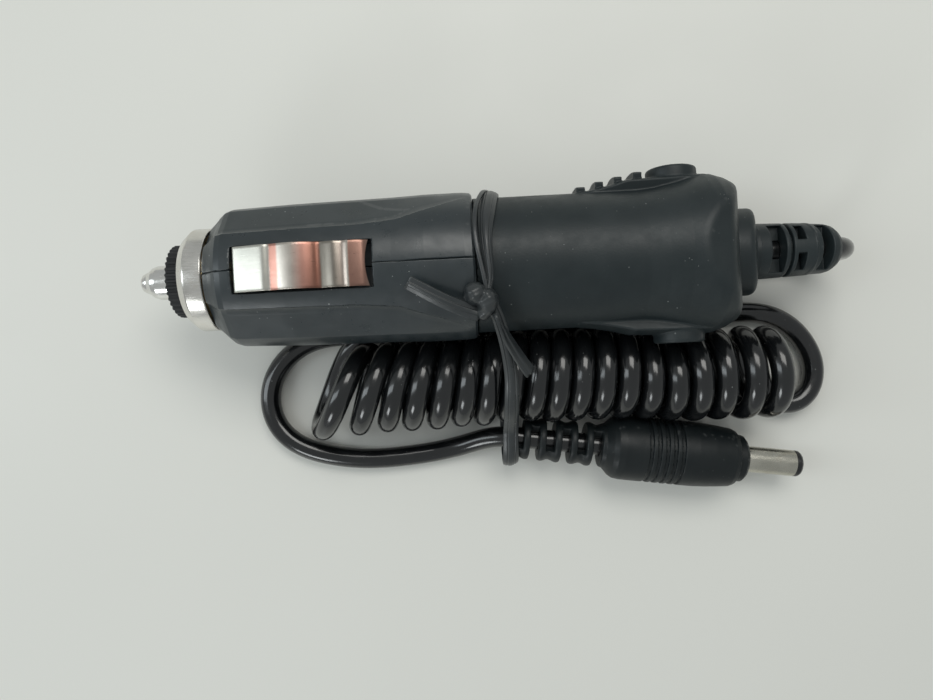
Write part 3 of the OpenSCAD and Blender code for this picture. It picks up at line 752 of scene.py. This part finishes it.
def wear_on(obj, key):
    obj.data.materials.clear()
    obj.data.materials.append(M[key])
    return obj


def piece(obj, key, body, slot, *nodes):
    wear_on(obj, key)
    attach(obj, body)
    if nodes:
        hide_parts(*nodes)
    return obj


cord = piece(tube("curly_cord", cord_line, CORD_R, 20), "jacket", "plug", "cord_jacket", "cord_from_plug", "cord_coil", "cord_to_dc")

# ---- moulded parts ---------------------------------------------------------------------------------------
shell_near = piece(surface("shell_near", housing_near, (-33.2, -10.9, -10.9), (14.6, 0.5, 10.9), 0.2), "shell", "plug", "gloss_black", "housing_near")
shell_far = piece(surface("shell_far", housing_far, (-33.2, -0.5, -10.9), (14.6, 10.9, 10.9), 0.2), "shell", "plug", "gloss_black", "housing_far")
soft_grip = piece(surface("soft_grip", grip, (2.9, -13.4, -11.8), (41.4, 13.4, 11.8), 0.22), "soft", "plug", "soft_pvc", "rear_grip")
soft_relief = piece(surface("soft_relief", relief, (34.6, -6.8, -6.8), (57.2, 6.8, 6.8), 0.16), "soft", "plug", "soft_pvc", "strain_relief")
dc_plug_body = piece(surface("dc_plug_body", dc_body, (6.0, -38.0, -15.2), (46.5, -21.6, -4.4), 0.18), "dc_soft", "plug", "soft_pvc", "dc_grip")

# ---- turned parts ----------------------------------------------------------------------------------------
cap = lathe("nickel_cap", rounded([
    (4.6, -36.6), (6, -36.6), (6.15, -36.5), (7.12, -35.42), (7.2, -35.2), (7.2, -33.05), (7.08, -32.9), (5.55, -32.9),
    (5.55, -29.8), (4.6, -29.8)], [0.1, 0.05, 0.05, 0.08, 0.1, 0.08, 0.06, 0.05, 0.15, 0.15]), 192)
piece(cap, "nickel", "cap", "nickel", "cap_ring")


def teeth(r, x, theta):
    if r < 4.9:
        return np.zeros(len(theta))
    phase = (theta * 36 / (2 * math.pi)) % 1
    return -0.3 * (1 - np.clip(1.5 - np.abs(phase - 0.5) * 4.4, 0, 1))


collar = lathe("toothed_collar", rounded([
    (3.3, -38.6), (4.95, -38.6), (5.1, -38.45), (5.1, -36.75), (4.95, -36.6), (4.6, -36.6), (4.6, -33.4), (3.3, -33.4)],
    [0.1, 0.06, 0.06, 0.06, 0.05, 0.03, 0.1, 0.1], 3), 432, teeth)
piece(collar, "matte", "cap", "matte_black", "knurled_collar")

tip = lathe("tip_pin", rounded([
    (0, -44), (0.7, -43.88), (1.25, -43.5), (1.5, -43.0), (1.62, -42.7), (2.15, -42.0), (2.4, -41.3), (2.4, -32.4),
    (2.9, -32.4), (2.9, -31), (0, -31)], [0, 0.6, 0.6, 0.3, 0.3, 0.4, 0.3, 0.05, 0.1, 0.1, 0]), 128)
piece(tip, "tip", "tip", "nickel", "tip_contact")

barrel = lathe("dc_sleeve", rounded([
    (1.45, -15), (1.95, -15), (1.95, -8.85), (2.0, -8.8), (2.0, -1), (1.45, -1)], 0.05, 3), 128, place=at_dc)
piece(barrel, "barrel", "plug", "nickel", "dc_barrel")
mouth = lathe("dc_mouth_ring", rounded([
    (1.15, -14), (1.45, -14), (1.45, -0.98), (2.0, -0.98), (2.0, -0.4), (1.7, 0), (1.0, 0), (1.0, -0.9), (1.15, -0.9)],
    [0.02, 0.02, 0.02, 0.04, 0.3, 0.25, 0.12, 0.03, 0.02]), 128, place=at_dc)
piece(mouth, "mouth", "plug", "matte_black", "dc_insulator")

# ---- side contacts ---------------------------------------------------------------------------------------
STRIP = [
    (-28.0, 9.0), (-27.75, 9.6), (-27.3, 9.85), (-25.6, 10.3), (-23.8, 10.7), (-22.9, 10.65), (-22.2, 10.8), (-21.2, 11.1),
    (-19.8, 11.25), (-18.4, 11.15), (-17.4, 10.85), (-16.6, 10.5), (-15.8, 10.55), (-14.6, 10.75), (-13.6, 10.55),
    (-12.8, 10.7), (-11.2, 10.55), (-10.2, 10.05)]


def contact(name, sign):
    line = resample([(a, 0, b) for a, b in STRIP], 0.16)[:, [0, 2]]
    n, w, thick = len(line), 17, 0.38
    tangent = np.gradient(line, axis=0)
    tangent /= np.linalg.norm(tangent, axis=1, keepdims=True)
    down = np.column_stack([tangent[:, 1], -tangent[:, 0]])
    down[down[:, 1] > 0] *= -1
    u = np.linspace(-1, 1, w)
    verts = np.zeros((2, n, w, 3))
    s = np.linspace(0, n - 1, n)
    for j, v in enumerate(u):
        hollow = 0.55 * (1 - v * v)          # both ends are cut slightly hollow
        at = np.interp(s / (n - 1), [0, 1], [hollow * 0.75 / 0.16, n - 1 - hollow / 0.16])
        px, pz = np.interp(at, s, line[:, 0]), np.interp(at, s, line[:, 1])
        dx, dz = np.interp(at, s, down[:, 0]), np.interp(at, s, down[:, 1])
        y = v * 2.93
        crown = 0.05 * v * v
        for side in (0, 1):
            t = thick * side
            verts[side, :, j, 0] = px + dx * (t + crown)
            verts[side, :, j, 1] = y
            verts[side, :, j, 2] = pz + dz * (t + crown)
    verts = verts.reshape(-1, 3)
    verts[:, 2] *= sign
    if sign < 0:
        verts[:, 1] *= -1
    idx = np.arange(2 * n * w).reshape(2, n, w)
    faces = []
    for i in range(n - 1):
        for j in range(w - 1):
            faces.append([idx[0, i, j], idx[0, i + 1, j], idx[0, i + 1, j + 1], idx[0, i, j + 1]])
            faces.append([idx[1, i, j], idx[1, i, j + 1], idx[1, i + 1, j + 1], idx[1, i + 1, j]])
        for j, o in ((0, 1), (w - 1, 0)):
            faces.append([idx[0, i, j], idx[1, i, j], idx[1, i + 1, j], idx[0, i + 1, j]])
    for j in range(w - 1):
        for i in (0, n - 1):
            faces.append([idx[0, i, j], idx[0, i, j + 1], idx[1, i, j + 1], idx[1, i, j]])
    obj = mesh_object(name, verts, faces)
    tidy(obj)
    bevel = obj.modifiers.new("soft_edge", "BEVEL")
    bevel.width, bevel.segments, bevel.limit_method, bevel.angle_limit = 0.07 * MM, 2, "ANGLE", math.radians(50)
    obj.modifiers.new("flat_faces", "WEIGHTED_NORMAL")
    return obj


piece(contact("upper_contact", 1), "contact", "top_blade", "nickel", "top_contact")
piece(contact("lower_contact", -1), "contact", "bottom_blade", "nickel", "bottom_contact")

# ---- spring ----------------------------------------------------------------------------------------------
turns, x0, x1 = 5, -10.7, -4.6
spring_line = [(x0 + (x1 - x0) * k / 80, 2.1 * math.cos(2 * math.pi * turns * k / 80), 2.1 * math.sin(2 * math.pi * turns * k / 80)) for k in range(81)]
spring = tube("tip_spring", resample(spring_line, 0.3), 0.28, 12)
piece(spring, "steel", "plug", "spring_steel", "contact_spring")

# ---- wire tie --------------------------------------------------------------------------------------------
band = rounded([
    (-1.12, -0.22), (1.12, -0.22), (1.12, 0.06), (0.64, 0.34), (0.52, 0.27), (0.40, 0.40), (0, 0.47), (-0.40, 0.40), (-0.52, 0.27),
    (-0.64, 0.34), (-1.12, 0.06)], [0.16, 0.16, 0.16, 0.1, 0.05, 0.1, 0.3, 0.1, 0.05, 0.1, 0.16], 3)
thread = rounded([(-0.27, -0.26), (0.27, -0.26), (0.27, 0.26), (-0.27, 0.26)], 0.16, 3)
wide = rounded([(-0.95, -0.2), (0.95, -0.2), (0.95, 0.2), (0.34, 0.24), (0.24, 0.42), (-0.24, 0.42), (-0.34, 0.24), (-0.95, 0.2)], 0.1, 3)
tie_strap = ribbon("tie_strap", route_tie, band, (0, 0.1, 1), widths=[(0, 0.42), (0.05, 0.62), (0.11, 0.98), (0.6, 1.0), (0.72, 1.08), (0.86, 0.9), (1, 0.7)])
tie_edge = ribbon("tie_edge_strand", edge_tie, thread, (0, 0.1, 1))
piece(tie_strap, "tie", "plug", "tie_plastic", "tie_loop")
piece(tie_edge, "tie", "plug", "tie_plastic")


def knot(p):
    def lobe(c, r):
        q = (p - np.array(c)) / np.array(r)
        return (np.linalg.norm(q, axis=1) - 1) * min(r)

    f = smin(lobe((3.0, -4.7, 10.3), (1.45, 1.5, 1.8)), lobe((4.5, -5.7, 10.0), (1.45, 1.75, 1.9)), 0.22)
    f = smin(f, lobe((4.0, -7.0, 9.4), (1.05, 1.1, 1.5)), 0.3)
    # the strap is wound round itself, so shallow folds run across
    fold = np.sin(2.9 * (p[:, 0] - 4) + 2.3 * (p[:, 1] + 5.4) + 1.2 * p[:, 2])
    return f + 0.05 * fold + 0.02 * np.sin(7 * p[:, 1] - 3 * p[:, 0])


piece(surface("tie_twist", knot, (1.2, -9.2, 7.4), (6.8, -2.6, 12.8), 0.12), "tie", "plug", "tie_plastic", "tie_knot")
tail_one = ribbon("tie_tail_one", [(3.4, -7.3, 9.9), (1.6, -6.6, 10.3), (-1.4, -5.2, 10.9), (-5.4, -2.9, 11.6)], wide, (0, -0.5, 0.87), [(0, 40), (0.4, 8), (1, -6)])
tail_two = ribbon("tie_tail_two", [(5.2, -7.4, 10.4), (7, -10.6, 7.6), (8.9, -13.6, 4.9), (10.1, -15.3, 3.6)], wide, (0, 0.6, 0.8), [(0, -50), (0.35, -10), (1, 12)])
piece(tail_one, "tie", "plug", "tie_plastic", "tie_tails")
piece(tail_two, "tie", "plug", "tie_plastic")

# ---- CAD parts that stay, with their own finishes --------------------------------------------------------
for node, key in (
    ("nose_bush", "brass"), ("tip_bush", "matte"), ("fuse_tube", "glass"), ("fuse_caps", "nickel"), ("fuse_wire", "fuse_metal"),
    ("fuse_sleeve", "natural"), ("spring_seat", "brass"), ("ground_strap", "brass"), ("positive_lead", "red"),
    ("negative_lead", "black_wire"), ("dc_centre_contact", "brass"), ("dc_inner_leads", "brass")):
    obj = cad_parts[node]
    obj.data.materials.clear()
    obj.data.materials.append(M[key])

# ---- floor and light -------------------------------------------------------------------------------------
floor = mesh_object("floor", [(-1500, -1500, FLOOR), (1500, -1500, FLOOR), (1500, 1500, FLOOR), (-1500, 1500, FLOOR)], [[0, 1, 2, 3]], False)
fm = Nodes("pale_floor")
fm.set(Base_Color=fm.mix(fm.noise(14, 3), (0.750, 0.750, 0.705), (0.764, 0.764, 0.719)), Specular_IOR_Level=0.42,
       Roughness=fm.ramp(fm.noise(60, 3), [(0.3, 0.44), (0.7, 0.54)]))
fm.bump((fm.noise(2600, 2), 0.05, 0.00002))
floor.data.materials.append(fm.m)

world = bpy.data.worlds.new("soft_room")
bpy.context.scene.world = world
world.use_nodes = True
world.node_tree.nodes["Background"].inputs["Color"].default_value = (0.93, 0.97, 0.97, 1)
world.node_tree.nodes["Background"].inputs["Strength"].default_value = 0.43


def softbox(name, where, towards, size, power, colour):
    data = bpy.data.lights.new(name, "AREA")
    data.shape = "RECTANGLE"
    data.size, data.size_y = size
    data.energy = power
    data.color = colour
    obj = bpy.data.objects.new(name, data)
    obj.location = where
    obj.rotation_euler = (Vector(towards) - Vector(where)).to_track_quat("-Z", "Y").to_euler()
    bpy.context.scene.collection.objects.link(obj)


softbox("window", (-0.46, 0.03, 0.34), (0, -0.005, 0), (0.16, 0.46), 0.72, (0.88, 0.96, 1.0))
softbox("window_low", (-0.24, -0.38, 0.20), (0, -0.015, 0), (0.14, 0.14), 0.40, (0.95, 0.99, 1.0))
softbox("ceiling", (0.05, 0.13, 0.24), (0.01, 0.0, 0), (0.20, 0.12), 0.30, (1.0, 0.99, 0.95))

for made in [o for o in bpy.data.objects if o.type == "MESH" and o.name in (
        "curly_cord", "shell_near", "shell_far", "soft_grip", "soft_relief", "dc_plug_body", "tie_strap", "tie_twist", "tip_spring")]:
    made.data.calc_loop_triangles()
    co = np.empty(len(made.data.vertices) * 3)
    made.data.vertices.foreach_get("co", co)
    co = co.reshape(-1, 3) / MM
    tri = np.empty(len(made.data.loop_triangles) * 3, np.int32)
    made.data.loop_triangles.foreach_get("vertices", tri)
    tri = co[tri.reshape(-1, 3)]
    print("volume mm3", made.name, round(float((np.cross(tri[:, 0], tri[:, 1]) * tri[:, 2]).sum() / 6), 1), len(tri))
